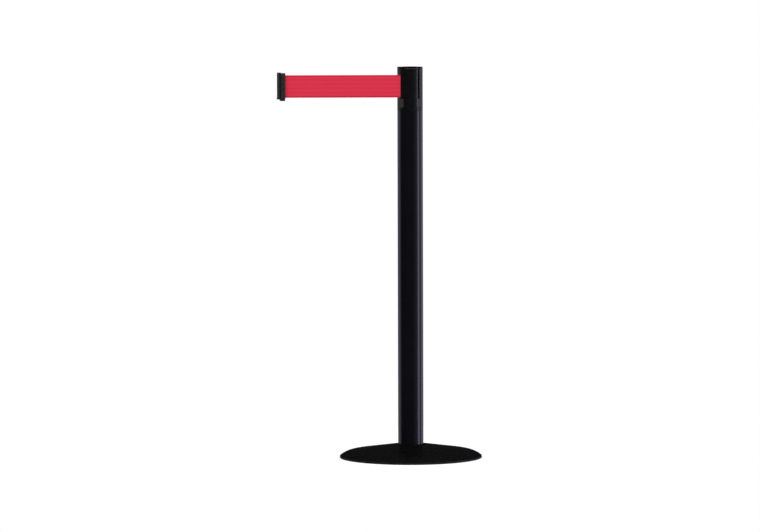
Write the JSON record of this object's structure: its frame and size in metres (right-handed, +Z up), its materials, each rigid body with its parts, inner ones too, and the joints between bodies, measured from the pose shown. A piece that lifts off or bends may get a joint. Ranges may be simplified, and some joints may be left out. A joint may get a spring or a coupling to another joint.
{
  "type": "retractable belt stanchion",
  "caption": "Free-standing round post on a weighted base, with a spring-wound webbing belt drawn out of its head and slots in the head that take the belt ends of other posts.",
  "frame": {"origin": "centre of the underside of the floor pad, on the floor and on the post's axis", "axes": "+Z up along the post; the belt is drawn out along -X; -Y is the side that the belt passes on, seen from the front"},
  "size_m": [0.5103, 0.3556, 0.978],
  "materials": {
    "black_paint": "gloss black stove enamel",
    "satin_black_paint": "satin black powder coat",
    "black_plastic": "moulded black, satin gloss",
    "charcoal_plastic": "dark grey, moulded",
    "grained_plastic": "black, with a moulded grain",
    "belt_red": "woven polyester webbing",
    "bright_steel": "ground",
    "zinc_fasteners": "zinc plated",
    "black_fasteners": "black oxide",
    "spring_steel": "blued strip and wire",
    "bronze_bush": "sintered bronze",
    "cast_iron": "as cast",
    "rubber": "matt moulded",
    "white_nylon": "moulded acetal",
    "grey_plastic": "glass filled nylon",
    "brake_lining": "moulded friction lining"
  },
  "bodies": {
    "post": {"floor_pad": "rubber", "base_weight": "cast_iron", "base_cover": "satin_black_paint", "foot_plug": "bright_steel", "base_bolt": "zinc_fasteners", "base_washer": "zinc_fasteners", "base_lock_washer": "spring_steel", "post_tube": "black_paint", "head_shell": "black_plastic", "core_base": "charcoal_plastic", "head_core": "charcoal_plastic", "belt_exit_guide": "black_plastic", "belt_guide_pin": "bright_steel", "top_cap": "black_plastic", "tie_screws": "black_fasteners", "head_screws": "black_fasteners", "bearing_plate": "grey_plastic", "upper_bush": "bronze_bush", "lower_bush": "bronze_bush", "spring_barrel": "grey_plastic", "spring_cover": "bright_steel", "power_spring": "spring_steel", "gearbox_housing": "grey_plastic", "brake_cover": "grey_plastic", "brake_bushes": "bronze_bush", "cassette_screws": "zinc_fasteners"},
    "spool": {"spindle": "bright_steel", "retaining_clip": "spring_steel", "spool_drum": "white_nylon", "spool_top_flange": "white_nylon", "belt_roll": "belt_red", "belt_anchor_pin": "bright_steel", "spring_arbor": "bright_steel", "drive_gear": "white_nylon"},
    "brake": {"brake_pinion": "bright_steel", "brake_shaft": "bright_steel", "brake_rotor": "grey_plastic"},
    "brake_shoe_outer": {"brake_shoe_outer": "brake_lining"},
    "brake_shoe_inner": {"brake_shoe_inner": "brake_lining"},
    "belt_end": {"belt_run": "belt_red", "belt_end_front": "grained_plastic", "belt_end_back": "grained_plastic", "belt_end_screws": "black_fasteners", "belt_end_pin": "bright_steel", "spring_peg": "bright_steel", "latch_spring": "spring_steel"},
    "release_slide": {"release_slide": "grained_plastic"}
  },
  "joints": [
    {"name": "belt_pull", "type": "slide", "parent": "post", "child": "belt_end", "axis": [-1, 0, 0], "range_m": [-0.28, 2], "stiffness_N_per_m": 2, "springref_m": -3, "deforming": ["belt_run"]},
    {"name": "spool_spin", "type": "hinge", "parent": "post", "child": "spool", "pos_m": [0, 0, 0.93], "axis": [0, 0, -1], "range_deg": [-1300, 9100], "deforming": ["power_spring", "belt_roll"]},
    {"name": "brake_spin", "type": "hinge", "parent": "post", "child": "brake", "pos_m": [0, 0.014, 0.788], "axis": [0, 0, -1], "range_deg": [-27300, 3900]},
    {"name": "brake_shoe_outer_slide", "type": "slide", "parent": "brake", "child": "brake_shoe_outer", "axis": [0, 1, 0], "range_m": [0, 0.00025]},
    {"name": "brake_shoe_inner_slide", "type": "slide", "parent": "brake", "child": "brake_shoe_inner", "axis": [0, -1, 0], "range_m": [0, 0.00025]},
    {"name": "release_slide_pull", "type": "slide", "parent": "belt_end", "child": "release_slide", "axis": [1, 0, 0], "range_m": [0, 0.0018], "stiffness_N_per_m": 400, "springref_m": -0.001, "deforming": ["latch_spring"]}
  ],
  "couplings": [
    {"joint": "spool_spin", "follows": "belt_pull", "rad_per_m": 78.5},
    {"joint": "brake_spin", "follows": "belt_pull", "rad_per_m": -235.5}
  ]
}
